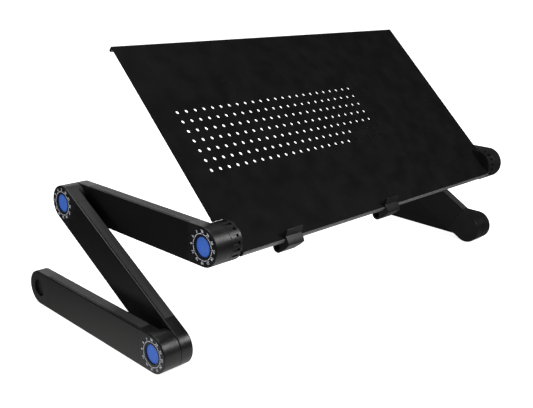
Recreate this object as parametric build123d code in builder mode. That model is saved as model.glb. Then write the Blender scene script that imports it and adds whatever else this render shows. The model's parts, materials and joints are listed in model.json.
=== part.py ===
from build123d import *
import os
from math import cos, radians, sin

# Folding laptop stand: a perforated deck held at its front corners by two legs of three
# links each.  +X is the user's right, +Y points away from the user, +Z is up and the feet
# stand on Z = 0.  Everything is drawn for the left side and mirrored for the right.
# Millimetres and degrees.

# ---- legs -------------------------------------------------------------------------
pivot_pitch = 214.0        # distance between the two pivots of one link
hub_radius = 20.0          # round ends, and half the height of a link
link_thickness = 15.0
boss_height = 5.0          # how far a hub stands inward of its link
link_gap = 0.3             # running gap between neighbouring hubs
corner_radius = 1.2
tube_wall = 1.6
seam_distance = 21.0       # pivot to the end of the tube
spigot_length = 14.0
spigot_clearance = 0.15
groove_offset = 2.0        # outboard face of the tube to the decorative groove
groove_width = 0.9
groove_depth = 0.7
recess_radius = 10.0       # blind recess in the free end of a foot
recess_depth = 3.0

# ---- pose in which the stand is drawn -----------------------------------------------
middle_angle = 29.0        # middle link above the foot
upper_angle = -1.0         # upper link, measured from its front pivot to its rear one
deck_angle = 43.0

# ---- lock inside each joint ---------------------------------------------------------
button_radius = 10.0
button_clearance = 0.2
button_inset = 1.3         # button face below the hub face
button_edge = 0.4
button_lip = 2.4           # plastic lip that keeps the button in
button_flange = 11.3
flange_clearance = 0.3
flange_height = 1.2
press_travel = 2.4
pusher_radius = 1.5
pusher_circle = 8.9
pusher_count = 3
pusher_clearance = 0.2
contact_gap = 0.05         # between a pusher and the lock gear
head_radius = 5.5          # pivot bolt head
head_height = 3.1
head_gap = 0.1
socket_radius = 2.9
socket_depth = 1.8
web_face = 8.6             # floor of the button pocket, below the hub face
web_thickness = 6.9
bolt_radius = 3.0
bolt_clearance = 0.05
spline_teeth = 12
spline_root = 12.3
spline_tip = 14.8
spline_width = 3.2
spline_clearance = 0.2
gear_engagement = 1.7      # gear length inside the outer hub when locked
gear_length = 7.8
gear_bore = 3.4
gear_floor = 1.5
socket_end_gap = 0.6       # lock gear to the socket's floor, at full travel
spring_radius = 6.0        # to the middle of the wire
spring_wire = 0.45
spring_turns = 5
spring_clearance = 0.6
insert_radius = 4.5
insert_length = 5.0

# ---- deck ---------------------------------------------------------------------------
deck_width = 480.0
deck_depth = 260.0
deck_sheet = 1.8
deck_rise = 8.3            # top of the deck above the front pivot, square to the deck
deck_overhang = 21.2       # front pivot to the front edge
lip_height = 7.4
lip_thickness = 3.5
lip_radius = 1.7
bead_height = 6.6
bead_thickness = 2.6
bead_radius = 1.2
rail_front = -11.0         # hollow rail under the deck, measured back from the pivot
rail_back = 15.0
rail_height = 16.0
rail_wall = 1.6
rail_radius = 1.2
vent_columns = 24
vent_rows = 7
vent_pitch_across = 12.0
vent_pitch_back = 12.3
vent_radius = 2.2
vent_centre_across = -69.0
vent_centre_back = 110.2   # from the front pivot, along the deck

# ---- deck hubs ------------------------------------------------------------------------
drum_width = 12.9
drum_clearance = 0.3
notch_back_clearance = 0.3
rib_count = 18
rib_slot_width = 3.0
rib_slot_depth = 1.8
rib_phase = 10.0
rib_length = 8.4
rib_collar = 1.4           # smooth band beside the leg
tongue_length = 46.0
tongue_clearance = 0.2
screw_radius = 2.0
screw_clearance = 0.15
screw_length = 9.0
screw_head_radius = 3.8
screw_head_height = 2.2
screw_setback = 14.0       # first screw from the drum
screw_pitch = 20.0

# ---- retaining clips --------------------------------------------------------------------
clip_width = 23.0
clip_clearance = 0.2
clip_centres = {"left_clip": -158.0, "right_clip": 6.5}
clip_reach = 7.0           # nose of the clip in front of the deck
clip_nose_drop = 0.3       # nose below the deck's top
clip_shoulder = (4.5, 1.7)     # behind the nose, above the deck
clip_valley_height = 2.6
clip_flap_root = 2.0
clip_hook = 6.4            # tail of the clip behind the deck's front edge
clip_flap_height = 9.1
clip_flap_lean = 2.0
clip_wall = 3.0
clip_flap_radius = 1.2     # both top corners of the flap
clip_roll_drop = 16.0      # centre of the roll below the deck's top
clip_roll_radius = 6.0
clip_roll_bore = 3.6

# ---- derived places -----------------------------------------------------------------------
hub_pitch = link_thickness + boss_height + link_gap
drum_face = deck_width / 2     # the hubs are flush with the deck's sides
upper_face = drum_face + hub_pitch
middle_face = upper_face + hub_pitch
foot_face = middle_face + hub_pitch
tube_length = pivot_pitch - 2 * seam_distance
socket_length = gear_length - gear_engagement - link_gap + press_travel + socket_end_gap


def step(angle, length):
    return Vector(0, length * cos(radians(angle)), length * sin(radians(angle)))


deck_direction = step(deck_angle, 1)
deck_normal = step(deck_angle + 90, 1)
foot_pivot = Vector(0, 0, hub_radius)
knee_pivot = foot_pivot + step(middle_angle, pivot_pitch)
deck_pivot = knee_pivot - step(upper_angle, pivot_pitch)
clip_nose = (deck_pivot - deck_direction * (deck_overhang + clip_reach)
             + deck_normal * (deck_rise - clip_nose_drop))
centre_shift = Vector(0, -(clip_nose.Y + pivot_pitch + hub_radius) / 2, 0)
foot_pivot, knee_pivot, deck_pivot = (p + centre_shift for p in (foot_pivot, knee_pivot, deck_pivot))


def hub_plane(pivot, face):
    """Plane on a hub's outboard face: x back, y up, z inward."""
    return Plane(origin=(-face, pivot.Y, pivot.Z), x_dir=(0, 1, 0), z_dir=(1, 0, 0))


def link_plane(pivot, face, angle):
    """The same plane turned so that x runs along the link."""
    return Plane(origin=(-face, pivot.Y, pivot.Z), x_dir=step(angle, 1), z_dir=(1, 0, 0))


deck_profile = Plane(origin=(0, deck_pivot.Y, deck_pivot.Z), x_dir=deck_direction, z_dir=(1, 0, 0))
deck_top = Plane(origin=deck_pivot + deck_normal * deck_rise, x_dir=(1, 0, 0), z_dir=deck_normal)
foot_hub = hub_plane(foot_pivot, foot_face)
knee_hub = hub_plane(knee_pivot, middle_face)
deck_hub_plane = hub_plane(deck_pivot, upper_face)
joints = {"foot": foot_hub, "knee": knee_hub, "deck": deck_hub_plane}

os.makedirs("parts", exist_ok=True)


def write(part, name):
    part.label = name
    export_step(part, f"parts/{name}.step")


def write_pair(left, name):
    """Write the left-hand piece, and its mirror image for the right."""
    with BuildPart() as right:
        mirror(left.part, about=Plane.YZ)
    write(left.part, f"left_{name}")
    write(right.part, f"right_{name}")


# ---- link tubes and caps --------------------------------------------------------------------
def link_tube(link):
    """Hollow extrusion between the two caps of a link."""
    start = link.from_local_coords(Vector(seam_distance, 0, link_thickness / 2))
    inner_radius = max(corner_radius - tube_wall, 0.4)
    with BuildPart() as tube:
        with BuildSketch(Plane(origin=start, x_dir=(1, 0, 0), z_dir=link.x_dir)):
            RectangleRounded(link_thickness, 2 * hub_radius, corner_radius)
            RectangleRounded(link_thickness - 2 * tube_wall, 2 * (hub_radius - tube_wall),
                             inner_radius, mode=Mode.SUBTRACT)
            with Locations((groove_offset + (groove_width - link_thickness) / 2, 0)):
                with GridLocations(0, 2 * hub_radius - groove_depth, 1, 2):
                    Rectangle(groove_width, groove_depth, mode=Mode.SUBTRACT)
        extrude(amount=tube_length)
    return tube


def spline_outline(clearance):
    """Twelve-tooth outline, shared by the lock gear and its sockets."""
    Circle(spline_root + clearance)
    with PolarLocations(0, spline_teeth):
        Rectangle(spline_tip + clearance, spline_width + 2 * clearance,
                  align=(Align.MIN, Align.CENTER))


def bore(plane, start, end, radius):
    """Cut a round hole in the piece being built, between two depths below a plane."""
    with BuildSketch(plane.offset(start)) as circle:
        Circle(radius)
    extrude(circle.sketch, amount=end - start, mode=Mode.SUBTRACT)


def outer_hub_cuts(hub):
    """Button pocket, web and splined socket of a hub that carries a button."""
    hub_end = link_thickness + boss_height
    bore(hub, 0, button_lip, button_radius + button_clearance)
    bore(hub, button_lip, web_face, button_flange + flange_clearance)
    bore(hub, web_face, hub_end, bolt_radius + bolt_clearance)
    with BuildSketch(hub.offset(web_face)) as pusher_holes:
        with PolarLocations(pusher_circle, pusher_count):
            Circle(pusher_radius + pusher_clearance)
    extrude(pusher_holes.sketch, amount=web_thickness, mode=Mode.SUBTRACT)
    with BuildSketch(hub.offset(web_face + web_thickness)) as socket:
        spline_outline(spline_clearance)
    extrude(socket.sketch, amount=hub_end - web_face - web_thickness, mode=Mode.SUBTRACT)


def inner_hub_cuts(hub):
    """Splined socket and insert seat of the hub on the inboard side of a joint."""
    with BuildSketch(hub.offset(hub_pitch)) as socket:
        spline_outline(spline_clearance)
    extrude(socket.sketch, amount=socket_length, mode=Mode.SUBTRACT)
    bore(hub, hub_pitch + socket_length, hub_pitch + socket_length + insert_length, insert_radius)


def link_cap(link):
    """Moulded end cap with a full-round end, up to and including its spigot."""
    along = Axis(link.origin, link.x_dir)
    with BuildPart() as cap:
        with BuildSketch(link):
            Circle(hub_radius)
            Rectangle(seam_distance, 2 * hub_radius, align=(Align.MIN, Align.CENTER))
        extrude(amount=link_thickness)
        faces = cap.faces().sort_by(Axis.X)
        fillet(faces[0].edges().sort_by(along)[:-1] + faces[-1].edges().sort_by(along)[:-1],
               corner_radius)
        inset = tube_wall + spigot_clearance
        with BuildSketch(link.offset(inset)):
            with Locations((seam_distance, 0)):
                Rectangle(spigot_length, 2 * (hub_radius - inset), align=(Align.MIN, Align.CENTER))
        extrude(amount=link_thickness - 2 * inset)
    return cap


def outer_cap(link, hub):
    """Cap that carries a button and a boss."""
    with BuildPart() as cap:
        add(link_cap(link).part)
        with BuildSketch(hub.offset(corner_radius)):
            Circle(hub_radius)
        extrude(amount=link_thickness + boss_height - corner_radius)
        outer_hub_cuts(hub)
    return cap


def inner_cap(link, hub):
    """Cap on the inboard side of a joint."""
    with BuildPart() as cap:
        add(link_cap(link).part)
        inner_hub_cuts(hub)
    return cap


def plain_cap(link):
    """Cap on the free end of a foot."""
    with BuildPart() as cap:
        add(link_cap(link).part)
        bore(link, 0, recess_depth, recess_radius)
    return cap


foot_free_end = foot_pivot + step(0, pivot_pitch)
write_pair(link_tube(link_plane(foot_pivot, foot_face, 0)), "foot_tube")
write_pair(link_tube(link_plane(foot_pivot, middle_face, middle_angle)), "middle_tube")
write_pair(link_tube(link_plane(deck_pivot, upper_face, upper_angle)), "upper_tube")

write_pair(outer_cap(link_plane(foot_pivot, foot_face, 0), foot_hub), "foot_front_cap")
write_pair(plain_cap(link_plane(foot_free_end, foot_face, 180)), "foot_rear_cap")
write_pair(inner_cap(link_plane(foot_pivot, middle_face, middle_angle), foot_hub),
           "middle_lower_cap")
write_pair(outer_cap(link_plane(knee_pivot, middle_face, middle_angle + 180), knee_hub),
           "middle_upper_cap")
write_pair(inner_cap(link_plane(knee_pivot, upper_face, upper_angle + 180), knee_hub),
           "upper_rear_cap")
write_pair(outer_cap(link_plane(deck_pivot, upper_face, upper_angle), deck_hub_plane),
           "upper_front_cap")


# ---- lock parts, the same in every joint ---------------------------------------------------
gear_start = link_thickness + boss_height - gear_engagement
socket_floor = hub_pitch + socket_length
insert_end = socket_floor + insert_length
bolt_head_face = web_face - head_gap - head_height


def push_button(hub):
    """Round button with a retaining flange and three pushers that reach the lock gear."""
    flange_start = button_lip + contact_gap
    pusher_start = flange_start + flange_height
    with BuildPart() as button:
        with BuildSketch(hub.offset(button_inset)):
            Circle(button_radius)
        extrude(amount=flange_start - button_inset)
        with BuildSketch(hub.offset(flange_start)):
            Circle(button_flange)
            Circle(pusher_circle - pusher_radius, mode=Mode.SUBTRACT)
        extrude(amount=flange_height)
        with BuildSketch(hub.offset(pusher_start)):
            with PolarLocations(pusher_circle, pusher_count):
                Circle(pusher_radius)
        extrude(amount=gear_start - contact_gap - pusher_start)
        fillet(button.faces().sort_by(Axis.X)[0].edges(), button_edge)
    return button


def lock_gear(hub):
    """Splined ring that ties the two hubs together until it is pushed inward."""
    with BuildPart() as gear:
        with BuildSketch(hub.offset(gear_start)):
            spline_outline(0)
        extrude(amount=gear_length)
        bore(hub, gear_start, gear_start + gear_length, gear_bore)
        bore(hub, gear_start + gear_floor, gear_start + gear_length,
             spring_radius + spring_wire + spring_clearance)
    return gear


def return_spring(hub):
    """Coil spring between the lock gear and the floor of the socket."""
    first_coil = gear_start + gear_floor + spring_wire
    height = socket_floor - spring_wire - first_coil
    with BuildPart() as spring:
        with BuildLine():
            coil = Helix(pitch=height / spring_turns, height=height, radius=spring_radius,
                         center=hub.offset(first_coil).origin, direction=hub.z_dir)
        with BuildSketch(Plane(origin=coil @ 0, z_dir=coil % 0)):
            Circle(spring_wire)
        sweep(path=coil, is_frenet=True)
    return spring


def pivot_bolt(hub):
    """Bolt that the two hubs turn on, screwed into the insert."""
    with BuildPart() as bolt:
        with BuildSketch(hub.offset(bolt_head_face)):
            Circle(head_radius)
        extrude(amount=head_height)
        with BuildSketch(hub.offset(bolt_head_face + head_height)):
            Circle(bolt_radius)
        extrude(amount=insert_end - bolt_head_face - head_height)
        with BuildSketch(hub.offset(bolt_head_face)):
            RegularPolygon(socket_radius, 6)
        extrude(amount=socket_depth, mode=Mode.SUBTRACT)
    return bolt


def threaded_insert(hub):
    """Brass insert moulded into the inner hub."""
    with BuildPart() as insert:
        with BuildSketch(hub.offset(socket_floor)):
            Circle(insert_radius)
            Circle(bolt_radius, mode=Mode.SUBTRACT)
        extrude(amount=insert_length)
    return insert


for joint, hub in joints.items():
    write_pair(push_button(hub), f"{joint}_button")
    write_pair(lock_gear(hub), f"{joint}_lock_gear")
    write_pair(return_spring(hub), f"{joint}_spring")
    write_pair(pivot_bolt(hub), f"{joint}_pivot_bolt")
    write_pair(threaded_insert(hub), f"{joint}_insert")


# ---- deck ------------------------------------------------------------------------------------
front_edge = -deck_overhang
back_edge = deck_depth - deck_overhang
notch_side = drum_face - drum_width - drum_clearance
sheet_low = deck_rise - deck_sheet
notch_back = (hub_radius**2 - sheet_low**2) ** 0.5 + notch_back_clearance
rail_centre = (rail_front + rail_back) / 2
screw_places = [drum_face - drum_width - screw_setback - i * screw_pitch for i in range(2)]


def block(low, high):
    """Rectangle between two corners, drawn in the open sketch."""
    with Locations(((low[0] + high[0]) / 2, (low[1] + high[1]) / 2)):
        return Rectangle(high[0] - low[0], high[1] - low[1])


def round_corner(section, along, up, radius):
    """Round the corner of the open sketch that lies furthest in one direction."""
    outward = Axis((0, 0, 0), (along, up, 0))
    fillet(section.vertices().sort_by(outward)[-1], radius)


with BuildPart() as deck:
    with BuildSketch(deck_profile.offset(-deck_width / 2)) as section:
        block((front_edge, sheet_low), (back_edge, deck_rise))
        round_corner(section, -1, 1, lip_radius)
        round_corner(section, 1, 1, bead_radius)
    extrude(amount=deck_width)
    with BuildSketch(deck_top):
        with Locations((0, (front_edge + notch_back) / 2)):
            with GridLocations(deck_width / 2 + notch_side, 0, 2, 1):
                Rectangle(deck_width / 2 - notch_side, notch_back - front_edge)
        with Locations((vent_centre_across, vent_centre_back)):
            with GridLocations(vent_pitch_across, vent_pitch_back, vent_columns, vent_rows):
                Circle(vent_radius)
    extrude(amount=-deck_sheet, mode=Mode.SUBTRACT)
write(deck.part, "deck")

with BuildPart() as front_lip:
    with BuildSketch(deck_profile.offset(-notch_side)) as section:
        block((front_edge, deck_rise - lip_height), (front_edge + lip_thickness, sheet_low))
        round_corner(section, -1, -1, lip_radius)
    extrude(amount=2 * notch_side)
write(front_lip.part, "deck_front_lip")

with BuildPart() as rear_bead:
    with BuildSketch(deck_profile.offset(-deck_width / 2)) as section:
        block((back_edge - bead_thickness, deck_rise - bead_height), (back_edge, sheet_low))
        round_corner(section, 1, -1, bead_radius)
    extrude(amount=deck_width)
write(rear_bead.part, "deck_rear_bead")

with BuildPart() as rail:
    with BuildSketch(deck_profile.offset(-notch_side)) as section:
        block((rail_front, deck_rise - rail_height), (rail_back, sheet_low))
        round_corner(section, -1, -1, rail_radius)
        round_corner(section, 1, -1, rail_radius)
        with Locations((rail_centre, deck_rise - (rail_height + deck_sheet - rail_wall) / 2)):
            Rectangle(rail_back - rail_front - 2 * rail_wall, rail_height - deck_sheet - rail_wall,
                      mode=Mode.SUBTRACT)
    extrude(amount=2 * notch_side)
    with BuildSketch(deck_top.offset(-rail_height)):
        with Locations(*[(side * x, rail_centre) for side in (-1, 1) for x in screw_places]):
            Circle(screw_radius + screw_clearance)
    extrude(amount=rail_wall, mode=Mode.SUBTRACT)
write(rail.part, "deck_rail")


# ---- deck hubs -----------------------------------------------------------------------------------
tongue_front = rail_front + rail_wall + tongue_clearance
tongue_back = rail_back - rail_wall - tongue_clearance
tongue_top = sheet_low - tongue_clearance
tongue_bottom = deck_rise - rail_height + rail_wall + tongue_clearance
drum_inner = drum_face - drum_width
tongue_root = (drum_width - socket_length) / 2

with BuildPart() as deck_hub:
    with BuildSketch(deck_hub_plane.offset(hub_pitch)):
        Circle(hub_radius)
    extrude(amount=drum_width)
    with BuildSketch(deck_hub_plane.offset(hub_pitch + rib_collar)):
        with PolarLocations(hub_radius, rib_count, start_angle=rib_phase):
            Rectangle(2 * rib_slot_depth, rib_slot_width)
    extrude(amount=rib_length, mode=Mode.SUBTRACT)
    inner_hub_cuts(deck_hub_plane)
    with BuildSketch(deck_profile.offset(-drum_inner - tongue_root)):
        block((tongue_front, tongue_bottom), (tongue_back, tongue_top))
    extrude(amount=tongue_length + tongue_root)
    bore(deck_hub_plane, socket_floor, insert_end, insert_radius)
    with BuildSketch(deck_top.offset(-rail_height + rail_wall)):
        with Locations(*[(-x, rail_centre) for x in screw_places]):
            Circle(screw_radius)
    extrude(amount=screw_length - rail_wall, mode=Mode.SUBTRACT)
write_pair(deck_hub, "deck_hub")

with BuildPart() as screws:
    with BuildSketch(deck_top.offset(-rail_height - screw_head_height)):
        with Locations(*[(side * x, rail_centre) for side in (-1, 1) for x in screw_places]):
            Circle(screw_head_radius)
    extrude(amount=screw_head_height)
    with BuildSketch(deck_top.offset(-rail_height)):
        with Locations(*[(side * x, rail_centre) for side in (-1, 1) for x in screw_places]):
            Circle(screw_radius)
    extrude(amount=screw_length)
write(screws.part, "deck_hub_screws")


# ---- retaining clips --------------------------------------------------------------------------------
def retaining_clip(centre):
    """S-shaped clip that hooks round the front lip and slides along it."""
    nose = front_edge - clip_reach
    tail = front_edge + clip_hook
    flap_foot = tail - clip_flap_lean / 2
    roll_centre = (tail - clip_roll_radius + 0.5, deck_rise - clip_roll_drop)
    slot_low = deck_rise - lip_height - clip_clearance
    gap_low = sheet_low - clip_clearance
    slot_high = deck_rise + clip_clearance
    slot_front = front_edge - clip_clearance
    with BuildPart() as clip:
        with BuildSketch(deck_profile.offset(centre - clip_width / 2)) as section:
            with BuildLine():
                Polyline(
                    (tail + clip_flap_lean, deck_rise + clip_flap_height),
                    (tail + clip_flap_lean - clip_wall, deck_rise + clip_flap_height),
                    (flap_foot - clip_wall, deck_rise + clip_valley_height),
                    (nose + clip_shoulder[0], deck_rise + clip_shoulder[1]),
                    (nose, deck_rise - clip_nose_drop),
                    (nose + 0.3, slot_low),
                    (roll_centre[0] - clip_roll_radius, roll_centre[1]),
                    (tail, roll_centre[1]),
                    (tail, slot_high),
                    (flap_foot, deck_rise + clip_flap_root),
                    close=True,
                )
            make_face()
            fillet(section.vertices().group_by(Axis.Y)[-1], clip_flap_radius)
            with Locations(roll_centre):
                Circle(clip_roll_radius)
                Circle(clip_roll_bore, mode=Mode.SUBTRACT)
            with Locations(((slot_front + front_edge + lip_thickness + clip_clearance) / 2,
                            (slot_low + slot_high) / 2)):
                Rectangle(lip_thickness + 2 * clip_clearance, slot_high - slot_low,
                          mode=Mode.SUBTRACT)
            with Locations(((slot_front + tail) / 2, (gap_low + slot_high) / 2)):
                Rectangle(tail - slot_front, slot_high - gap_low, mode=Mode.SUBTRACT)
        extrude(amount=clip_width)
    return clip


for name, centre in clip_centres.items():
    write(retaining_clip(centre).part, name)
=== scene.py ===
import json
import math

import bmesh
import bpy
from bpy.props import FloatProperty, FloatVectorProperty, IntProperty, PointerProperty
from mathutils import Matrix, Vector


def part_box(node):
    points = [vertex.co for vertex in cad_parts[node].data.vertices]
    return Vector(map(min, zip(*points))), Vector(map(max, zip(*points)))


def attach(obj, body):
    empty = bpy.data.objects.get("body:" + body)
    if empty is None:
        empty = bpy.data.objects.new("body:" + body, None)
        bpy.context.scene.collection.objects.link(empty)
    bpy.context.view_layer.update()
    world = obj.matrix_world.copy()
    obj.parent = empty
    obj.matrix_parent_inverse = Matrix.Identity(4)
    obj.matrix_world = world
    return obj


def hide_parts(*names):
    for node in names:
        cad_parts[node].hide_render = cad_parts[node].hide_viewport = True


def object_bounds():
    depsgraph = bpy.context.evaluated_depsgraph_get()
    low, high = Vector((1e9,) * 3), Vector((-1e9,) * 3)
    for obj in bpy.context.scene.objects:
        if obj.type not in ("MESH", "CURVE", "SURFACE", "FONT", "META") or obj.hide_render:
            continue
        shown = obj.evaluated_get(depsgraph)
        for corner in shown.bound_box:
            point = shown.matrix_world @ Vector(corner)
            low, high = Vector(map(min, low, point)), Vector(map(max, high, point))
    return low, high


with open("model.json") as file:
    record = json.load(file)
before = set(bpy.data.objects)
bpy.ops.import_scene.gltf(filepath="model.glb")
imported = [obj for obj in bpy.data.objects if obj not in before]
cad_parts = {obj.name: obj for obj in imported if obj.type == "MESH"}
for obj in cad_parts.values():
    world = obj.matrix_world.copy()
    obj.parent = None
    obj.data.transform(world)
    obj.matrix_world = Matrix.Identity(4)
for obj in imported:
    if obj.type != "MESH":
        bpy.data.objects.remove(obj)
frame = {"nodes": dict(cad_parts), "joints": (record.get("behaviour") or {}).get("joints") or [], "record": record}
cad_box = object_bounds()

bl_info = {
    "name": "Folding laptop stand",
    "version": (1, 0, 0),
    "blender": (4, 5, 0),
    "location": "3D View > Sidebar > Laptop stand",
    "description": "Finishes the pieces of a folding laptop stand and sets up its studio",
    "category": "Object",
}

SIDES = ("left", "right")
LINKS = {
    "foot": ("foot_front_cap", "foot_rear_cap"),
    "middle": ("middle_lower_cap", "middle_upper_cap"),
    "upper": ("upper_front_cap", "upper_rear_cap"),
}
# Each joint's outer hub: the cap that carries the button and the dial, and its link.
OUTER_HUBS = {
    "foot": ("foot_front_cap", "foot"),
    "knee": ("middle_upper_cap", "middle"),
    "deck": ("upper_front_cap", "upper"),
}
# Joints at the two ends of each link that isn't level.
LINK_JOINTS = {"middle": ("foot", "knee"), "upper": ("deck", "knee")}
DECK_PIECES = ("deck", "deck_front_lip", "deck_rear_bead", "deck_rail")

MERGE_DISTANCE = 2e-6
TOUCH = 1e-5               # how deep a laid-on piece sits in the face below it
FLAT_ANGLE = math.radians(0.5)      # faces that bend less than this are joined
SHARP_ANGLE = math.radians(40)      # outer edges sharper than this are rounded
SMOOTH_ANGLE = math.radians(32)     # edges softer than this are shaded smooth
SMALL_FACE = 1e-4          # faces under this area keep the finish of the piece
FACING_SHARE = 0.25        # how squarely a face looks along a direction to take its finish
BUTTON_STEPS = 64          # faces round a button
CROWN_STEPS = 8            # faces from a button's middle to its rim
DIAL_STEP = 30             # degrees between two numbers
ARC_STEPS = 6              # faces along one arc of a dial
DUST = (0.2, 0.195, 0.185)

# Each soft light's place, size and power setting. The top light looks at the middle of the
# stand, and the others at its left leg.
LIGHTS = {
    "Top light": ((-0.2, 0.3, 2.3), (1.6, 1.6), "top_power"),
    "Back light": ((1.05, 2.05, 1.45), (1.2, 0.8), "back_power"),
    "Low back light": ((1.05, 2.05, 0.65), (1.4, 0.6), "haze_power"),
    "Front light": ((0.49, -0.9, 0.79), (0.4, 0.45), "front_power"),
    "High light": ((0.88, 0.25, 2.06), (0.8, 0.8), "high_power"),
}


# ---- sizes and colours ----------------------------------------------------------------------
class StandSizes(bpy.types.PropertyGroup):
    """Sizes of the details that the finished pieces add."""

    sheet_edge: FloatProperty(
        name="Deck edge", description="Rounding of the deck's cut edges and vent rims",
        default=0.00025, unit="LENGTH")
    profile_edge: FloatProperty(
        name="Profile edge", description="Rounding of the extrusions' ends and groove edges",
        default=0.0003, unit="LENGTH")
    moulded_edge: FloatProperty(
        name="Moulded edge", description="Rounding of the moulded caps, hubs and clips",
        default=0.0003, unit="LENGTH")
    edge_segments: IntProperty(
        name="Edge steps", description="Faces across each rounded edge", default=2, min=1)
    button_radius: FloatProperty(
        name="Button face", description="Radius of the crowned part of a button",
        default=0.0096, unit="LENGTH")
    button_crown: FloatProperty(
        name="Button crown", description="How far the middle of a button stands proud",
        default=0.00024, unit="LENGTH")
    button_rim: FloatProperty(
        name="Button rim", description="Width of the crowned face's undercut rim",
        default=0.0004, unit="LENGTH")
    number_height: FloatProperty(
        name="Number height", description="Height of a digit on the dials",
        default=0.0027, unit="LENGTH")
    number_radius: FloatProperty(
        name="Number circle", description="Pivot to the middle of the numbers",
        default=0.0158, unit="LENGTH")
    ring_radius: FloatProperty(
        name="Dial arcs", description="Radius of the arcs between the numbers",
        default=0.0132, unit="LENGTH")
    arc_angle: FloatProperty(
        name="Arc length", description="Angle that one arc covers",
        default=math.radians(19), subtype="ANGLE")
    ring_width: FloatProperty(
        name="Arc line", description="Width of the printed arcs",
        default=0.00045, unit="LENGTH")
    tick_length: FloatProperty(
        name="Tick length", description="Length of the tick at each number",
        default=0.0013, unit="LENGTH")
    tick_width: FloatProperty(
        name="Tick width", description="Width of a tick", default=0.00045, unit="LENGTH")
    print_depth: FloatProperty(
        name="Print depth", description="How far the printing stands above the face",
        default=0.00003, unit="LENGTH")
    # Painted shade: a thin dark strip under the deck fills the gap behind each deck hub, where only shade shows.
    shade_strip_length: FloatProperty(
        name="Shade strip length", description="Shade strip's size along the front of the deck",
        default=0.0125, unit="LENGTH")
    shade_strip_width: FloatProperty(
        name="Shade strip width", description="Shade strip's size up the deck",
        default=0.003, unit="LENGTH")
    shade_strip_thickness: FloatProperty(
        name="Shade strip thickness", description="Thickness of the shade strip",
        default=0.0005, unit="LENGTH")
    shade_strip_inset: FloatProperty(
        name="Shade strip inset", description="Hub's outboard face to the end of the shade strip",
        default=0.0002, unit="LENGTH")
    shade_strip_back: FloatProperty(
        name="Shade strip place", description="Deck pivot to the middle of the shade strip, up the deck",
        default=0.02085, unit="LENGTH")
    shade_strip_rise: FloatProperty(
        name="Shade strip rise", description="Deck pivot to the middle of the shade strip, square to the deck",
        default=0.0062, unit="LENGTH")


class StandColours(bpy.types.PropertyGroup):
    """Colours of the finishes."""

    anodised: FloatVectorProperty(
        name="Anodised", description="Black anodised aluminium",
        default=(0.003, 0.0028, 0.003), subtype="COLOR", min=0, max=1)
    # Painted sheen: the top and bottom faces of a link get this lighter colour in place of the broad reflection
    # they catch; their fine ribbing is real.
    narrow: FloatVectorProperty(
        name="Drawn narrow faces with painted sheen", description="Matt, finely ribbed top and bottom of a link, lightened as painted sheen",
        default=(0.038, 0.0365, 0.0375), subtype="COLOR", min=0, max=1)
    # Painted reflection: the deck's front lip and rear bead get this lighter colour in place of the pale floor
    # they mirror.
    edge: FloatVectorProperty(
        name="Drawn deck edge", description="Front lip and rear bead of the deck",
        default=(0.075, 0.073, 0.077), subtype="COLOR", min=0, max=1)
    deck: FloatVectorProperty(
        name="Deck", description="Fine blasted and black anodised deck",
        default=(0.0052, 0.0051, 0.0054), subtype="COLOR", min=0, max=1)
    moulded: FloatVectorProperty(
        name="Moulded", description="Black moulded plastic",
        default=(0.0056, 0.0055, 0.0062), subtype="COLOR", min=0, max=1)
    # Lighter edge colour: partly rubbed wear, partly a painted highlight on the rounded edges.
    rubbed: FloatVectorProperty(
        name="Rubbed edge", description="Colour that shows where an edge is rubbed, and its painted highlight",
        default=(0.075, 0.073, 0.076), subtype="COLOR", min=0, max=1)
    button: FloatVectorProperty(
        name="Button", description="Blue of the push buttons",
        default=(0.031, 0.108, 0.455), subtype="COLOR", min=0, max=1)
    printing: FloatVectorProperty(
        name="Dial print", description="Numbers and ticks on the dials",
        default=(0.66, 0.69, 0.76), subtype="COLOR", min=0, max=1)
    steel: FloatVectorProperty(
        name="Plated steel", description="Screws, bolts and springs",
        default=(0.5, 0.5, 0.52), subtype="COLOR", min=0, max=1)
    gear: FloatVectorProperty(
        name="Sintered steel", description="Lock gears",
        default=(0.3, 0.3, 0.31), subtype="COLOR", min=0, max=1)
    brass: FloatVectorProperty(
        name="Brass", description="Threaded inserts",
        default=(0.62, 0.44, 0.2), subtype="COLOR", min=0, max=1)
    floor: FloatVectorProperty(
        name="Floor", description="Pale studio floor",
        default=(0.86, 0.86, 0.86), subtype="COLOR", min=0, max=1)


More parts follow.
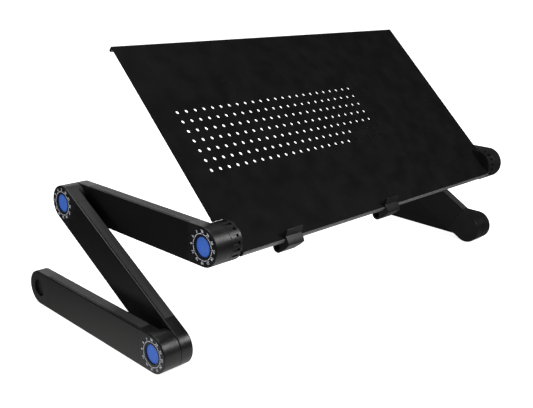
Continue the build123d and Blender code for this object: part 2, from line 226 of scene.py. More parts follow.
class StudioSettings(bpy.types.PropertyGroup):
    """Camera and lights."""

    place: FloatVectorProperty(
        name="Camera place", description="Where the camera stands",
        default=(-0.69404, -0.62911, 0.37873), subtype="TRANSLATION", unit="LENGTH")
    heading: FloatProperty(
        name="Heading", description="Camera's turn from straight back towards the right",
        default=math.radians(45.31), subtype="ANGLE")
    pitch: FloatProperty(
        name="Pitch", description="How far the camera looks down",
        default=math.radians(17.23), subtype="ANGLE")
    roll: FloatProperty(
        name="Roll", description="Camera's lean", default=math.radians(1.52), subtype="ANGLE")
    lens: FloatProperty(
        name="Lens", description="Focal length in millimetres", default=51.66, min=10)
    floor_radius: FloatProperty(
        name="Floor radius", description="Size of the round floor", default=30.0, unit="LENGTH")
    floor_glow: FloatProperty(
        name="Floor glow", description="Light that the pale floor gives by itself", default=0.86)
    table_glow: FloatProperty(
        name="Table glow", description="Brightness of the table as it is mirrored in the object",
        default=0.85)
    table_spread: FloatProperty(
        name="Table spread", description="How far the mirrored table's light reaches",
        default=0.17, unit="LENGTH")
    table_bright: FloatVectorProperty(
        name="Table bright spot", description="Where the mirrored table is brightest",
        default=(-0.2, -0.12, 0), subtype="TRANSLATION", unit="LENGTH")
    table_centre: FloatVectorProperty(
        name="Table centre", description="Middle of the mirrored table, just under the floor",
        default=(0.225, -0.1, -0.001), subtype="TRANSLATION", unit="LENGTH")
    table_reach: FloatProperty(
        name="Table reach", description="Middle of the mirrored table to each of its edges",
        default=0.6, unit="LENGTH")
    sky_shown: FloatProperty(
        name="Background", description="Brightness of the background", default=1.0)
    sky_mirrored: FloatProperty(
        name="Mirrored room", description="Brightness of the room as the object mirrors it",
        default=0.05)
    sky_light: FloatProperty(
        name="Room light", description="Brightness of the room on the object", default=0.5)
    top_power: FloatProperty(
        name="Top light", description="Soft light overhead, in watts", default=30.0)
    back_power: FloatProperty(
        name="Back light", description="Soft light behind the object, in watts", default=3.8)
    haze_power: FloatProperty(
        name="Low back light", description="Dim light low behind the object, in watts",
        default=1.9)
    front_power: FloatProperty(
        name="Front light", description="Soft light at the right front, in watts", default=5.6)
    high_power: FloatProperty(
        name="High light", description="Soft light high on the right, in watts", default=0.8)


# ---- places read from the frame -------------------------------------------------------------
def pivot(side, joint):
    """Centre of a leg joint at rest."""
    name = f"{side}_{joint}_hinge"
    return Vector(next(j["pos_m"] for j in frame["joints"] if j["name"] == name))


def link_angle(link):
    """Angle of a link above the horizontal; the foot lies level."""
    if link not in LINK_JOINTS:
        return 0.0
    start, end = (pivot("left", joint) for joint in LINK_JOINTS[link])
    run = end - start
    return math.atan2(run.z, run.y)


def deck_angle():
    """Tilt of the deck, from the way its largest face looks."""
    normal = max(frame["nodes"]["deck"].data.polygons, key=lambda face: face.area).normal
    return math.atan2(abs(normal.y), abs(normal.z))


def outboard_face(side, node):
    """X of a node's outboard face."""
    low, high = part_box(f"{side}_{node}")
    return low.x if side == "left" else high.x


def face_matrix(side, joint, face_x):
    """Placement on an outboard face: x and y across it as seen from outside, z outward."""
    out = -1.0 if side == "left" else 1.0
    centre = pivot(side, joint)
    axes = Matrix(((0, 0, out), (out, 0, 0), (0, 1, 0))).to_4x4()
    return Matrix.Translation((face_x, centre.y, centre.z)) @ axes


# ---- node groups shared by the finishes -----------------------------------------------------
def add_node(tree, kind, inputs=None, **settings):
    """A node with its settings, and its inputs set to values or linked from sockets."""
    node = tree.nodes.new(kind)
    for name, value in settings.items():
        setattr(node, name, value)
    for name, value in (inputs or {}).items():
        if isinstance(value, bpy.types.NodeSocket):
            tree.links.new(value, node.inputs[name])
        else:
            node.inputs[name].default_value = value
    return node


def new_group(name, inputs, outputs):
    """An empty node group, with its input and output nodes."""
    tree = bpy.data.node_groups.new(name, "ShaderNodeTree")
    for socket_name, kind, default in inputs:
        socket = tree.interface.new_socket(name=socket_name, in_out="INPUT", socket_type=kind)
        if default is not None:
            socket.default_value = default
    for socket_name in outputs:
        tree.interface.new_socket(name=socket_name, in_out="OUTPUT",
                                  socket_type="NodeSocketFloat")
    return tree, tree.nodes.new("NodeGroupInput").outputs, tree.nodes.new("NodeGroupOutput")


def scaled_noise(tree, vector, size, detail, roughness=0.5):
    """Noise whose features are about size across."""
    scale = add_node(tree, "ShaderNodeMath", {0: 1.0, 1: size}, operation="DIVIDE")
    return add_node(tree, "ShaderNodeTexNoise", {
        "Vector": vector, "Scale": scale.outputs[0], "Detail": detail,
        "Roughness": roughness}).outputs["Fac"]


def stretched(tree, value, low, high):
    """Value from low to high spread over 0 to 1 and held there."""
    return add_node(tree, "ShaderNodeMapRange", {
        "Value": value, "From Min": low, "From Max": high}, clamp=True).outputs[0]


def product(tree, first, second):
    """Two values multiplied."""
    return add_node(tree, "ShaderNodeMath", {0: first, 1: second},
                    operation="MULTIPLY").outputs[0]


def rubbed_edges_and_highlight_group():
    """Mask of edges that hands and bags have rubbed, broken up along their length; it also paints the edges'
    highlight.
    """
    tree, given, out = new_group("Rubbed edges", [
        ("Vector", "NodeSocketVector", None), ("Width", "NodeSocketFloat", 0.0006),
        ("Amount", "NodeSocketFloat", 1.0)], ["Mask"])
    rounded = add_node(tree, "ShaderNodeBevel", {"Radius": given["Width"]}, samples=6)
    surface = add_node(tree, "ShaderNodeNewGeometry")
    facing = add_node(tree, "ShaderNodeVectorMath", {
        0: rounded.outputs[0], 1: surface.outputs["Normal"]}, operation="DOT_PRODUCT")
    turned = add_node(tree, "ShaderNodeMath", {0: 1.0, 1: facing.outputs["Value"]},
                      operation="SUBTRACT")
    edge = stretched(tree, turned.outputs[0], 0.005, 0.16)
    patches = stretched(tree, scaled_noise(tree, given["Vector"], 0.012, 5.0, 0.65), 0.38, 0.62)
    specks = stretched(tree, scaled_noise(tree, given["Vector"], 0.0012, 2.0), 0.3, 0.6)
    mask = product(tree, product(tree, edge, patches), specks)
    tree.links.new(product(tree, mask, given["Amount"]), out.inputs["Mask"])


def fine_grain_group():
    """Fine moulded texture, and the broad unevenness of a moulded face."""
    tree, given, out = new_group("Fine grain", [
        ("Vector", "NodeSocketVector", None), ("Grain", "NodeSocketFloat", 0.0004)],
        ["Height", "Shade"])
    scale = add_node(tree, "ShaderNodeMath", {0: 1.0, 1: given["Grain"]}, operation="DIVIDE")
    cells = add_node(tree, "ShaderNodeTexVoronoi", {
        "Vector": given["Vector"], "Scale": scale.outputs[0]}, feature="SMOOTH_F1")
    haze = scaled_noise(tree, given["Vector"], given["Grain"], 3.0)
    height = add_node(tree, "ShaderNodeMath", {
        0: cells.outputs["Distance"], 1: haze}, operation="ADD")
    tree.links.new(height.outputs[0], out.inputs["Height"])
    tree.links.new(stretched(tree, scaled_noise(tree, given["Vector"], 0.02, 3.0), 0.3, 0.7),
                   out.inputs["Shade"])


def drawn_lines_group():
    """Fine lines that drawing or brushing leaves along a piece tilted about X."""
    tree, given, out = new_group("Drawn lines", [
        ("Vector", "NodeSocketVector", None), ("Tilt", "NodeSocketFloat", 0.0),
        ("Spacing", "NodeSocketFloat", 0.0003), ("Length", "NodeSocketFloat", 0.08)],
        ["Height", "Shade"])
    back = product(tree, given["Tilt"], -1.0)
    level = add_node(tree, "ShaderNodeVectorRotate", {
        "Vector": given["Vector"], "Angle": back}, rotation_type="X_AXIS")
    across = add_node(tree, "ShaderNodeMath", {0: 1.0, 1: given["Spacing"]},
                      operation="DIVIDE").outputs[0]
    along = add_node(tree, "ShaderNodeMath", {0: 1.0, 1: given["Length"]},
                     operation="DIVIDE").outputs[0]
    stretch = add_node(tree, "ShaderNodeCombineXYZ", {"X": across, "Y": along, "Z": across})
    lines = add_node(tree, "ShaderNodeVectorMath", {
        0: level.outputs[0], 1: stretch.outputs[0]}, operation="MULTIPLY")
    fine = add_node(tree, "ShaderNodeTexNoise", {
        "Vector": lines.outputs[0], "Scale": 1.0, "Detail": 2.0}).outputs["Fac"]
    broad = add_node(tree, "ShaderNodeTexNoise", {
        "Vector": lines.outputs[0], "Scale": 0.22, "Detail": 3.0}).outputs["Fac"]
    tree.links.new(fine, out.inputs["Height"])
    tree.links.new(stretched(tree, broad, 0.3, 0.7), out.inputs["Shade"])


def handling_marks_group():
    """Soft smudges where the stand is handled."""
    tree, given, out = new_group("Handling marks", [
        ("Vector", "NodeSocketVector", None), ("Size", "NodeSocketFloat", 0.035)], ["Mask"])
    smears = stretched(tree, scaled_noise(tree, given["Vector"], given["Size"], 4.0, 0.55),
                       0.42, 0.68)
    prints = stretched(tree, scaled_noise(tree, given["Vector"], 0.004, 2.0), 0.35, 0.75)
    tree.links.new(product(tree, smears, prints), out.inputs["Mask"])


def settled_dust_group():
    """Small pale specks on the faces that look up."""
    tree, given, out = new_group("Settled dust", [
        ("Vector", "NodeSocketVector", None), ("Amount", "NodeSocketFloat", 0.5)], ["Mask"])
    surface = add_node(tree, "ShaderNodeNewGeometry")
    parts = add_node(tree, "ShaderNodeSeparateXYZ", {0: surface.outputs["Normal"]})
    upward = stretched(tree, parts.outputs["Z"], 0.2, 0.9)
    cells = add_node(tree, "ShaderNodeTexVoronoi", {
        "Vector": given["Vector"], "Scale": 260.0}, feature="F1")
    specks = stretched(tree, cells.outputs["Distance"], 0.10, 0.04)
    chosen = stretched(tree, scaled_noise(tree, given["Vector"], 0.006, 1.0), 0.56, 0.6)
    mask = product(tree, product(tree, specks, chosen), upward)
    tree.links.new(product(tree, mask, given["Amount"]), out.inputs["Mask"])


SHARED_GROUPS = {
    "Rubbed edges": rubbed_edges_and_highlight_group,
    "Fine grain": fine_grain_group,
    "Drawn lines": drawn_lines_group,
    "Handling marks": handling_marks_group,
    "Settled dust": settled_dust_group,
}


def use_group(tree, name, inputs):
    """A shared node group, made at its first use and placed in a material."""
    if name not in bpy.data.node_groups:
        SHARED_GROUPS[name]()
    return add_node(tree, "ShaderNodeGroup", inputs,
                    node_tree=bpy.data.node_groups[name]).outputs


# ---- finishes -------------------------------------------------------------------------------
def start_finish(name, constants):
    """A new material: its tree, its Principled shader and its object coordinates."""
    material = bpy.data.materials.new(name)
    material.use_nodes = True
    tree = material.node_tree
    shader = next(n for n in tree.nodes if n.type == "BSDF_PRINCIPLED")
    for socket, value in constants.items():
        shader.inputs[socket].default_value = value
    place = add_node(tree, "ShaderNodeTexCoord").outputs["Object"]
    return material, tree, shader, place


def mixed(tree, factor, first, second):
    """One colour laid over another where the factor is high."""
    first, second = (colour if isinstance(colour, bpy.types.NodeSocket) else (*colour, 1.0)
                     for colour in (first, second))
    return add_node(tree, "ShaderNodeMix", {0: factor, 6: first, 7: second},
                    data_type="RGBA").outputs[2]


def spread(tree, value, low, high):
    """A 0 to 1 value turned into low to high."""
    return add_node(tree, "ShaderNodeMapRange", {
        "Value": value, "To Min": low, "To Max": high}).outputs[0]


def darker(colour, share):
    """A colour at a share of its brightness."""
    return tuple(c * share for c in colour)


def link_bump(tree, shader, height, strength, distance):
    """Let a height shape the shader's surface."""
    bump = add_node(tree, "ShaderNodeBump", {
        "Height": height, "Strength": strength, "Distance": distance})
    tree.links.new(bump.outputs[0], shader.inputs["Normal"])


def anodised_finish(name, tilt, spacing, specular=0.5, roughness=(0.26, 0.36), rub_and_highlight=0.6,
                    colour=None):
    """Black anodised aluminium with fine lines along it."""
    colours = bpy.context.scene.stand_colours
    colour = tuple(colour or colours.anodised)
    material, tree, shader, place = start_finish(
        name, {"Metallic": 0.0, "Specular IOR Level": specular})
    lines = use_group(tree, "Drawn lines", {
        "Vector": place, "Tilt": tilt, "Spacing": spacing})
    marks = use_group(tree, "Handling marks", {"Vector": place})["Mask"]
    edges = use_group(tree, "Rubbed edges", {
        "Vector": place, "Width": 0.0006, "Amount": rub_and_highlight})["Mask"]
    dust = use_group(tree, "Settled dust", {"Vector": place, "Amount": 0.35})["Mask"]
    base = mixed(tree, lines["Shade"], darker(colour, 0.75), darker(colour, 1.35))
    # Edges turn towards the rubbed colour: partly wear, partly a painted highlight on the rounded edges.
    base = mixed(tree, edges, base, tuple(colours.rubbed))
    base = mixed(tree, dust, base, DUST)
    tree.links.new(base, shader.inputs["Base Color"])
    rough = spread(tree, lines["Height"], *roughness)
    worn = add_node(tree, "ShaderNodeMath", {0: marks, 1: 0.08, 2: rough},
                    operation="MULTIPLY_ADD").outputs[0]
    tree.links.new(worn, shader.inputs["Roughness"])
    link_bump(tree, shader, lines["Height"], 0.5, 0.00002)
    return material


def moulded_finish(name, grain, specular=0.5, roughness=(0.3, 0.38), rub_and_highlight=0.35, colour=None):
    """Black moulded plastic, or another evenly grained black surface."""
    colour = colour or bpy.context.scene.stand_colours.moulded
    material, tree, shader, place = start_finish(
        name, {"Metallic": 0.0, "Specular IOR Level": specular})
    texture = use_group(tree, "Fine grain", {"Vector": place, "Grain": grain})
    marks = use_group(tree, "Handling marks", {"Vector": place, "Size": 0.02})["Mask"]
    edges = use_group(tree, "Rubbed edges", {
        "Vector": place, "Width": 0.0005, "Amount": rub_and_highlight})["Mask"]
    dust = use_group(tree, "Settled dust", {"Vector": place, "Amount": 0.3})["Mask"]
    base = mixed(tree, texture["Shade"], darker(colour, 0.8), darker(colour, 1.25))
    # Edges turn towards the rubbed colour: partly wear, partly a painted highlight on the rounded edges.
    base = mixed(tree, edges, base, tuple(bpy.context.scene.stand_colours.rubbed))
    base = mixed(tree, dust, base, DUST)
    tree.links.new(base, shader.inputs["Base Color"])
    rough = spread(tree, texture["Shade"], *roughness)
    worn = add_node(tree, "ShaderNodeMath", {0: marks, 1: 0.1, 2: rough},
                    operation="MULTIPLY_ADD").outputs[0]
    tree.links.new(worn, shader.inputs["Roughness"])
    link_bump(tree, shader, texture["Height"], 0.35, 0.00003)
    return material


def button_finish():
    """Smooth blue plastic, a little scuffed by fingers."""
    colours = bpy.context.scene.stand_colours
    material, tree, shader, place = start_finish(
        "Blue button plastic", {"Metallic": 0.0, "Specular IOR Level": 0.25})
    texture = use_group(tree, "Fine grain", {"Vector": place, "Grain": 0.00025})
    marks = use_group(tree, "Handling marks", {"Vector": place, "Size": 0.008})["Mask"]
    base = mixed(tree, texture["Shade"], darker(colours.button, 0.93),
                 darker(colours.button, 1.06))
    base = mixed(tree, spread(tree, marks, 0.0, 0.18), base, darker(colours.button, 1.5))
    tree.links.new(base, shader.inputs["Base Color"])
    tree.links.new(spread(tree, marks, 0.32, 0.5), shader.inputs["Roughness"])
    link_bump(tree, shader, texture["Height"], 0.15, 0.00002)
    return material


def print_finish():
    """Pale ink, thin in places."""
    colours = bpy.context.scene.stand_colours
    material, tree, shader, place = start_finish(
        "Pale dial print", {"Metallic": 0.0, "Specular IOR Level": 0.2})
    thin = stretched(tree, scaled_noise(tree, place, 0.0006, 3.0, 0.6), 0.56, 0.7)
    base = mixed(tree, thin, tuple(colours.printing), darker(colours.printing, 0.55))
    tree.links.new(base, shader.inputs["Base Color"])
    tree.links.new(spread(tree, thin, 0.45, 0.6), shader.inputs["Roughness"])
    return material


def metal_finish(name, colour, grain, roughness):
    """Bare or plated metal with tooling marks and a little tarnish."""
    material, tree, shader, place = start_finish(name, {"Metallic": 1.0})
    texture = use_group(tree, "Fine grain", {"Vector": place, "Grain": grain})
    marks = use_group(tree, "Handling marks", {"Vector": place, "Size": 0.005})["Mask"]
    base = mixed(tree, texture["Shade"], darker(colour, 0.8), tuple(colour))
    base = mixed(tree, spread(tree, marks, 0.0, 0.4), base, darker(colour, 0.5))
    tree.links.new(base, shader.inputs["Base Color"])
    tree.links.new(spread(tree, texture["Shade"], *roughness), shader.inputs["Roughness"])
    link_bump(tree, shader, texture["Height"], 0.3, 0.00002)
    return material


def cover(obj, material):
    """Give every slot of an object one finish."""
    obj.data.materials.clear()
    obj.data.materials.append(material)


def refinish_node(node, material):
    """Assign a finish to the slots of a CAD node that stays."""
    for slot in frame["nodes"][node].material_slots:
        slot.material = material


# ---- making pieces --------------------------------------------------------------------------
def finish_piece(bm, name, material, body):
    """Turn a bmesh into a named piece that rides on a body."""
    mesh = bpy.data.meshes.new(name)
    bm.to_mesh(mesh)
    bm.free()
    for attribute in [a for a in mesh.attributes if a.name == "custom_normal"]:
        mesh.attributes.remove(attribute)
    mesh.shade_smooth()
    mesh.set_sharp_from_angle(angle=SMOOTH_ANGLE)
    piece = bpy.data.objects.new(name, mesh)
    bpy.context.scene.collection.objects.link(piece)
    cover(piece, material)
    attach(piece, body)
    return piece


def body_of_node(node):
    """Body that a CAD node rides on."""
    groups = frame["record"]["behaviour"]["bodies"]
    return next(body for body, members in groups.items() if node in members)


def softened_piece(node, name, material, width):
    """A merged copy of a CAD node with its sharp outer edges rounded, in its place."""
    sizes = bpy.context.scene.stand_sizes
    bm = bmesh.new()
    bm.from_mesh(frame["nodes"][node].data)
    bmesh.ops.remove_doubles(bm, verts=bm.verts, dist=MERGE_DISTANCE)
    bmesh.ops.dissolve_limit(bm, angle_limit=FLAT_ANGLE, verts=bm.verts, edges=bm.edges,
                             use_dissolve_boundaries=False)
    if any(not e.is_manifold for e in bm.edges):
        raise RuntimeError(f"the merged copy of {node} isn't closed")
    sharp = [e for e in bm.edges if e.is_convex and e.calc_face_angle() > SHARP_ANGLE]
    bmesh.ops.bevel(bm, geom=sharp, offset=width, offset_type="OFFSET",
                    segments=sizes.edge_segments, profile=0.5, affect="EDGES",
                    clamp_overlap=True, material=-1)
    piece = finish_piece(bm, name, material, body_of_node(node))
    weighted = piece.modifiers.new("Flat faces stay flat", "WEIGHTED_NORMAL")
    weighted.keep_sharp = True
    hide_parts(node)
    return piece


def second_finish(piece, material, direction):
    """Give the large faces of a piece that look along a direction another finish."""
    piece.data.materials.append(material)
    for face in piece.data.polygons:
        if abs(face.normal.dot(direction)) > FACING_SHARE and face.area > SMALL_FACE:
            face.material_index = 1


# ---- operators ------------------------------------------------------------------------------
class STAND_OT_links(bpy.types.Operator):
    """Finish the extruded tubes and the moulded caps of the six links"""

    bl_idname = "stand.links"
    bl_label = "Tubes and caps"

    def execute(self, context):
        sizes, colours = context.scene.stand_sizes, context.scene.stand_colours
        plastic = moulded_finish("Black moulded cap", 0.00035)
        for link, caps in LINKS.items():
            angle = link_angle(link)
            metal = anodised_finish(f"Black anodised {link} tube", angle, 0.0004)
            # The top and bottom faces get a lighter copy of the anodised finish: painted sheen.
            ribbed = anodised_finish(f"Ribbed {link} tube", angle, 0.00025, specular=0.25,
                                     roughness=(0.4, 0.5), colour=colours.narrow)
            for side in SIDES:
                piece = softened_piece(f"{side}_{link}_tube", f"{side}_{link}_profile", metal,
                                       sizes.profile_edge)
                second_finish(piece, ribbed, Vector((0, -math.sin(angle), math.cos(angle))))
                for cap in caps:
                    softened_piece(f"{side}_{cap}", f"{side}_{cap}_moulding", plastic,
                                   sizes.moulded_edge)
        return {"FINISHED"}


class STAND_OT_deck(bpy.types.Operator):
    """Finish the perforated deck, its lip, bead and rail, and the ribbed hubs beside it"""

    bl_idname = "stand.deck"
    bl_label = "Deck and deck hubs"

    def execute(self, context):
        sizes, colours = context.scene.stand_sizes, context.scene.stand_colours
        metal = moulded_finish("Black blasted deck", 0.0005, specular=0.06,
                               roughness=(0.4, 0.48), rub_and_highlight=0.5, colour=colours.deck)
        angle = deck_angle()
        along = Vector((0, math.cos(angle), math.sin(angle)))
        # The lip and bead get a lighter copy of the finish: painted reflection of the floor.
        drawn_with_painted_reflection = anodised_finish("Drawn deck edge", angle, 0.0005, colour=colours.edge)
        for node in DECK_PIECES:
            piece = softened_piece(node, f"{node}_finished", metal,
                                   sizes.sheet_edge)
            second_finish(piece, drawn_with_painted_reflection, along)
        plastic = moulded_finish("Black moulded hub", 0.0004, rub_and_highlight=0.5)
        for side in SIDES:
            softened_piece(f"{side}_deck_hub", f"{side}_ribbed_hub", plastic,
                           sizes.moulded_edge)
            # Dark strip behind each hub: painted shade.
            self.add_notch_seal(sizes, side, angle, plastic)
        return {"FINISHED"}

    def add_notch_seal(self, sizes, side, angle, material):
        """Thin dark strip under the deck that closes the gap behind a hub: painted shade where the gap shows dark.
        """
        outer = outboard_face(side, "deck_hub")
        middle = outer - math.copysign(sizes.shade_strip_length / 2 + sizes.shade_strip_inset, outer)
        centre = pivot(side, "deck")
        place = (Matrix.Translation((middle, centre.y, centre.z))
                 @ Matrix.Rotation(angle, 4, "X")
                 @ Matrix.Translation((0, sizes.shade_strip_back, sizes.shade_strip_rise)))
        size = Matrix.Diagonal((sizes.shade_strip_length, sizes.shade_strip_width, sizes.shade_strip_thickness, 1))
        bm = bmesh.new()
        bmesh.ops.create_cube(bm, size=1, matrix=place @ size)
        finish_piece(bm, f"{side}_notch_seal", material, "deck")


class STAND_OT_clips(bpy.types.Operator):
    """Finish the two retaining clips on the front lip"""

    bl_idname = "stand.clips"
    bl_label = "Retaining clips"

    def execute(self, context):
        plastic = moulded_finish("Black clip plastic", 0.0003, specular=0.3, rub_and_highlight=0.6)
        for side in SIDES:
            softened_piece(f"{side}_clip", f"{side}_retaining_clip", plastic,
                           context.scene.stand_sizes.moulded_edge)
        return {"FINISHED"}


class STAND_OT_buttons(bpy.types.Operator):
    """Give each push button a crowned face"""

    bl_idname = "stand.buttons"
    bl_label = "Push buttons"

    def execute(self, context):
        sizes = context.scene.stand_sizes
        blue = button_finish()
        for side in SIDES:
            for joint in OUTER_HUBS:
                button = f"{side}_{joint}_button"
                refinish_node(button, blue)
                bm = bmesh.new()
                verts = [bm.verts.new((r, 0, z)) for r, z in self.face_outline(sizes)]
                edges = [bm.edges.new(pair) for pair in zip(verts, verts[1:])]
                bmesh.ops.spin(bm, geom=verts + edges, cent=(0, 0, 0), axis=(0, 0, 1),
                               angle=math.tau, steps=BUTTON_STEPS, use_merge=True)
                bmesh.ops.remove_doubles(bm, verts=bm.verts, dist=MERGE_DISTANCE)
                place = face_matrix(side, joint, outboard_face(side, f"{joint}_button"))
                bmesh.ops.transform(bm, matrix=place, verts=bm.verts)
                bmesh.ops.recalc_face_normals(bm, faces=bm.faces)
                finish_piece(bm, f"{button}_face", blue, button)
        return {"FINISHED"}

    def face_outline(self, sizes):
        """Radius and height of the crowned face, from its middle round to its underside."""
        shares = [i / CROWN_STEPS for i in range(CROWN_STEPS)]
        crown = [(sizes.button_radius * share, sizes.button_crown * (1 - share**2))
                 for share in shares]
        under = -sizes.button_rim / 2
        return [*crown, (sizes.button_radius, -TOUCH),
                (sizes.button_radius - sizes.button_rim, under), (0, under)]


def number_mesh(text):
    """A flat mesh of one number, centred, with digits one unit high."""
    curve = bpy.data.curves.new(f"number {text}", "FONT")
    curve.body = text
    curve.align_x = "CENTER"
    curve.align_y = "CENTER"
    curve.resolution_u = 3
    holder = bpy.data.objects.new(curve.name, curve)
    bpy.context.scene.collection.objects.link(holder)
    graph = bpy.context.evaluated_depsgraph_get()
    mesh = bpy.data.meshes.new_from_object(holder.evaluated_get(graph))
    bpy.data.objects.remove(holder)
    low = min(v.co.y for v in mesh.vertices)
    high = max(v.co.y for v in mesh.vertices)
    mesh.transform(Matrix.Scale(1 / (high - low), 4)
                   @ Matrix.Translation((0, -(low + high) / 2, 0)))
    return mesh


def add_shape(bm, make, matrix):
    """Add a shape to a bmesh and put it in place."""
    before = len(bm.verts)
    make(bm)
    bm.verts.ensure_lookup_table()
    bmesh.ops.transform(bm, matrix=matrix, verts=bm.verts[before:])


class STAND_OT_dials(bpy.types.Operator):
    """Print a dial in tens of degrees round each push button"""

    bl_idname = "stand.dials"
    bl_label = "Dials"

    def execute(self, context):
        sizes = context.scene.stand_sizes
        ink = print_finish()
        numbers = {degrees: number_mesh(str(degrees // 10))
                   for degrees in range(DIAL_STEP, 361, DIAL_STEP)}
        for side in SIDES:
            for joint, (cap, link) in OUTER_HUBS.items():
                bm = bmesh.new()
                for degrees, mesh in numbers.items():
                    turn = Matrix.Rotation(math.radians(degrees), 4, "Z")
                    self.add_arc(bm, sizes, math.radians(degrees + DIAL_STEP / 2))
                    size = Matrix.Diagonal((sizes.tick_width / 2, sizes.tick_length / 2, 1, 1))
                    add_shape(bm, lambda b: bmesh.ops.create_grid(
                        b, x_segments=1, y_segments=1, size=1),
                        turn @ Matrix.Translation((0, sizes.ring_radius, 0)) @ size)
                    add_shape(bm, lambda b: b.from_mesh(mesh),
                              turn @ Matrix.Translation((0, sizes.number_radius, 0))
                              @ Matrix.Scale(sizes.number_height, 4))
                bmesh.ops.remove_doubles(bm, verts=bm.verts, dist=MERGE_DISTANCE)
                depth = sizes.print_depth + TOUCH
                raised = bmesh.ops.extrude_face_region(bm, geom=bm.faces[:])["geom"]
                bmesh.ops.translate(bm, vec=(0, 0, depth),
                                    verts=[g for g in raised
                                           if isinstance(g, bmesh.types.BMVert)])
                lean = link_angle(link) * (-1 if side == "left" else 1)
                place = (face_matrix(side, joint, outboard_face(side, cap))
                         @ Matrix.Rotation(lean, 4, "Z") @ Matrix.Translation((0, 0, -TOUCH)))
                bmesh.ops.transform(bm, matrix=place, verts=bm.verts)
                bmesh.ops.recalc_face_normals(bm, faces=bm.faces)
                finish_piece(bm, f"{side}_{joint}_dial", ink, body_of_node(f"{side}_{cap}"))
        return {"FINISHED"}

    def add_arc(self, bm, sizes, middle):
        """One flat arc of the broken ring just outside the button."""
        turns = [middle + sizes.arc_angle * (i / ARC_STEPS - 0.5) for i in range(ARC_STEPS + 1)]
        inner, outer = (
            [bm.verts.new((radius * math.sin(turn), radius * math.cos(turn), 0))
             for turn in turns]
            for radius in (sizes.ring_radius - sizes.ring_width / 2,
                           sizes.ring_radius + sizes.ring_width / 2))
        for i in range(ARC_STEPS):
            bm.faces.new((inner[i], inner[i + 1], outer[i + 1], outer[i]))


class STAND_OT_lock_parts(bpy.types.Operator):
    """Finish the metal parts inside the joints and the screws under the deck"""

    bl_idname = "stand.lock_parts"
    bl_label = "Metal lock parts"

    def execute(self, context):
        colours = context.scene.stand_colours
        steel = metal_finish("Zinc plated steel", colours.steel, 0.0003, (0.25, 0.4))
        gear = metal_finish("Sintered gear steel", colours.gear, 0.0002, (0.45, 0.6))
        brass = metal_finish("Machined brass", colours.brass, 0.0003, (0.22, 0.35))
        refinish_node("deck_hub_screws", steel)
        for side in SIDES:
            for joint in OUTER_HUBS:
                refinish_node(f"{side}_{joint}_spring", steel)
                refinish_node(f"{side}_{joint}_pivot_bolt", steel)
                refinish_node(f"{side}_{joint}_lock_gear", gear)
                refinish_node(f"{side}_{joint}_insert", brass)
        return {"FINISHED"}


def soft_light(name, place, aim, size, power):
    """A rectangular soft light that looks at a point."""
    light = bpy.data.lights.new(name, "AREA")
    light.shape = "RECTANGLE"
    light.size, light.size_y = size
    light.energy = power
    holder = bpy.data.objects.new(name, light)
    bpy.context.scene.collection.objects.link(holder)
    holder.location = place
    holder.rotation_euler = (Vector(aim) - Vector(place)).to_track_quat("-Z", "Y").to_euler()
    holder.visible_camera = False
    return holder


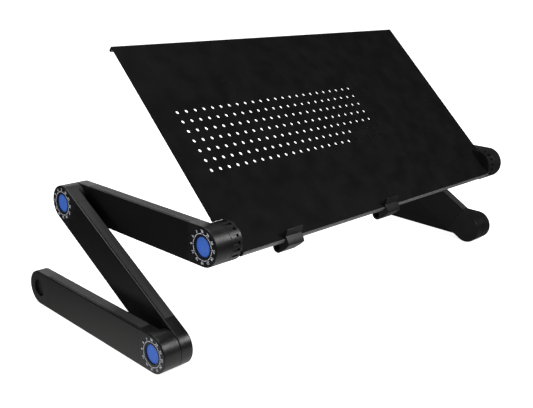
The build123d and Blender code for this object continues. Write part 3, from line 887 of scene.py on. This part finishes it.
class STAND_OT_studio(bpy.types.Operator):
    """Set up the floor, the background, the lights and the camera"""

    bl_idname = "stand.studio"
    bl_label = "Studio"

    def execute(self, context):
        studio = context.scene.studio_settings
        self.add_floor(studio, context.scene.stand_colours)
        self.add_table(studio)
        self.add_background(studio)
        low, high = cad_box
        middle = (low + high) / 2
        leg = (low.x, middle.y, middle.z / 2)
        for name, (place, size, power) in LIGHTS.items():
            aim = middle if name == "Top light" else leg
            soft_light(name, place, aim, size, getattr(studio, power))
        self.add_camera(studio)
        return {"FINISHED"}

    def stage_object(self, bm, name, material):
        """Turn a bmesh into a part of the stage."""
        mesh = bpy.data.meshes.new(name)
        bm.to_mesh(mesh)
        bm.free()
        part = bpy.data.objects.new(name, mesh)
        bpy.context.scene.collection.objects.link(part)
        cover(part, material)
        return part

    def add_floor(self, studio, colours):
        """Plain pale floor, left out of what the object mirrors."""
        bm = bmesh.new()
        bmesh.ops.create_circle(bm, cap_ends=True, segments=96, radius=studio.floor_radius)
        material, tree, shader, place = start_finish("Pale floor", {
            "Roughness": 0.85, "Specular IOR Level": 0.1,
            "Emission Strength": studio.floor_glow})
        speckle = scaled_noise(tree, place, 0.004, 2.0)
        tree.links.new(mixed(tree, speckle, darker(colours.floor, 0.985),
                             tuple(colours.floor)), shader.inputs["Base Color"])
        shader.inputs["Emission Color"].default_value = (1, 1, 1, 1)
        self.stage_object(bm, "Floor", material).visible_glossy = False

    def add_table(self, studio):
        """The lit table as the object mirrors it, brightest beside the left leg."""
        bm = bmesh.new()
        bmesh.ops.create_grid(bm, x_segments=1, y_segments=1, size=studio.table_reach,
                              matrix=Matrix.Translation(studio.table_centre))
        material, tree, shader, place = start_finish("Lit table", {
            "Roughness": 0.9, "Specular IOR Level": 0.0, "Base Color": (0, 0, 0, 1),
            "Emission Color": (1, 0.985, 0.97, 1)})
        away = add_node(tree, "ShaderNodeVectorMath", {
            0: place, 1: studio.table_bright}, operation="DISTANCE").outputs["Value"]
        share = product(tree, away, 1 / studio.table_spread)
        falling = add_node(tree, "ShaderNodeMath", {0: share, 1: share, 2: 1.0},
                           operation="MULTIPLY_ADD").outputs[0]
        glow = add_node(tree, "ShaderNodeMath", {0: studio.table_glow, 1: falling},
                        operation="DIVIDE").outputs[0]
        tree.links.new(glow, shader.inputs["Emission Strength"])
        table = self.stage_object(bm, "Mirrored table", material)
        table.visible_camera = False
        table.visible_diffuse = False
        table.visible_shadow = False

    def add_background(self, studio):
        """White background, with a dimmer room for what it lights and what mirrors it."""
        world = bpy.data.worlds.new("Studio")
        world.use_nodes = True
        bpy.context.scene.world = world
        tree = world.node_tree
        rays = add_node(tree, "ShaderNodeLightPath").outputs
        background = next(n for n in tree.nodes if n.type == "BACKGROUND")
        background.inputs["Color"].default_value = (1, 1, 1, 1)
        unseen = spread(tree, rays["Is Glossy Ray"], studio.sky_light, studio.sky_mirrored)
        tree.links.new(spread(tree, rays["Is Camera Ray"], unseen, studio.sky_shown),
                       background.inputs["Strength"])
        bpy.context.scene.view_settings.view_transform = "Standard"

    def add_camera(self, studio):
        """The camera, at its place and turned to its view."""
        camera = bpy.data.cameras.new("Camera")
        camera.lens = studio.lens
        camera.clip_end = 100.0
        holder = bpy.data.objects.new("Camera", camera)
        bpy.context.scene.collection.objects.link(holder)
        holder.matrix_world = (Matrix.Translation(studio.place)
                               @ Matrix.Rotation(-studio.heading, 4, "Z")
                               @ Matrix.Rotation(math.pi / 2 - studio.pitch, 4, "X")
                               @ Matrix.Rotation(studio.roll, 4, "Z"))
        bpy.context.scene.camera = holder


OPERATORS = (STAND_OT_links, STAND_OT_deck, STAND_OT_clips, STAND_OT_buttons, STAND_OT_dials,
             STAND_OT_lock_parts, STAND_OT_studio)


class STAND_PT_sidebar(bpy.types.Panel):
    """Sizes, colours and pieces of the laptop stand"""

    bl_label = "Laptop stand"
    bl_space_type = "VIEW_3D"
    bl_region_type = "UI"
    bl_category = "Laptop stand"

    def draw(self, context):
        scene = context.scene
        for settings in (scene.stand_sizes, scene.stand_colours, scene.studio_settings):
            box = self.layout.box()
            for name in settings.__annotations__:
                box.prop(settings, name)
        for operator in OPERATORS:
            self.layout.operator(operator.bl_idname)


CLASSES = (StandSizes, StandColours, StudioSettings, *OPERATORS, STAND_PT_sidebar)


def register():
    for cls in CLASSES:
        bpy.utils.register_class(cls)
    bpy.types.Scene.stand_sizes = PointerProperty(type=StandSizes)
    bpy.types.Scene.stand_colours = PointerProperty(type=StandColours)
    bpy.types.Scene.studio_settings = PointerProperty(type=StudioSettings)


def unregister():
    for name in ("studio_settings", "stand_colours", "stand_sizes"):
        delattr(bpy.types.Scene, name)
    for cls in reversed(CLASSES):
        bpy.utils.unregister_class(cls)


def main():
    register()
    bpy.ops.stand.links()
    bpy.ops.stand.deck()
    bpy.ops.stand.clips()
    bpy.ops.stand.buttons()
    bpy.ops.stand.dials()
    bpy.ops.stand.lock_parts()
    bpy.ops.stand.studio()


if __name__ == "__main__":
    main()
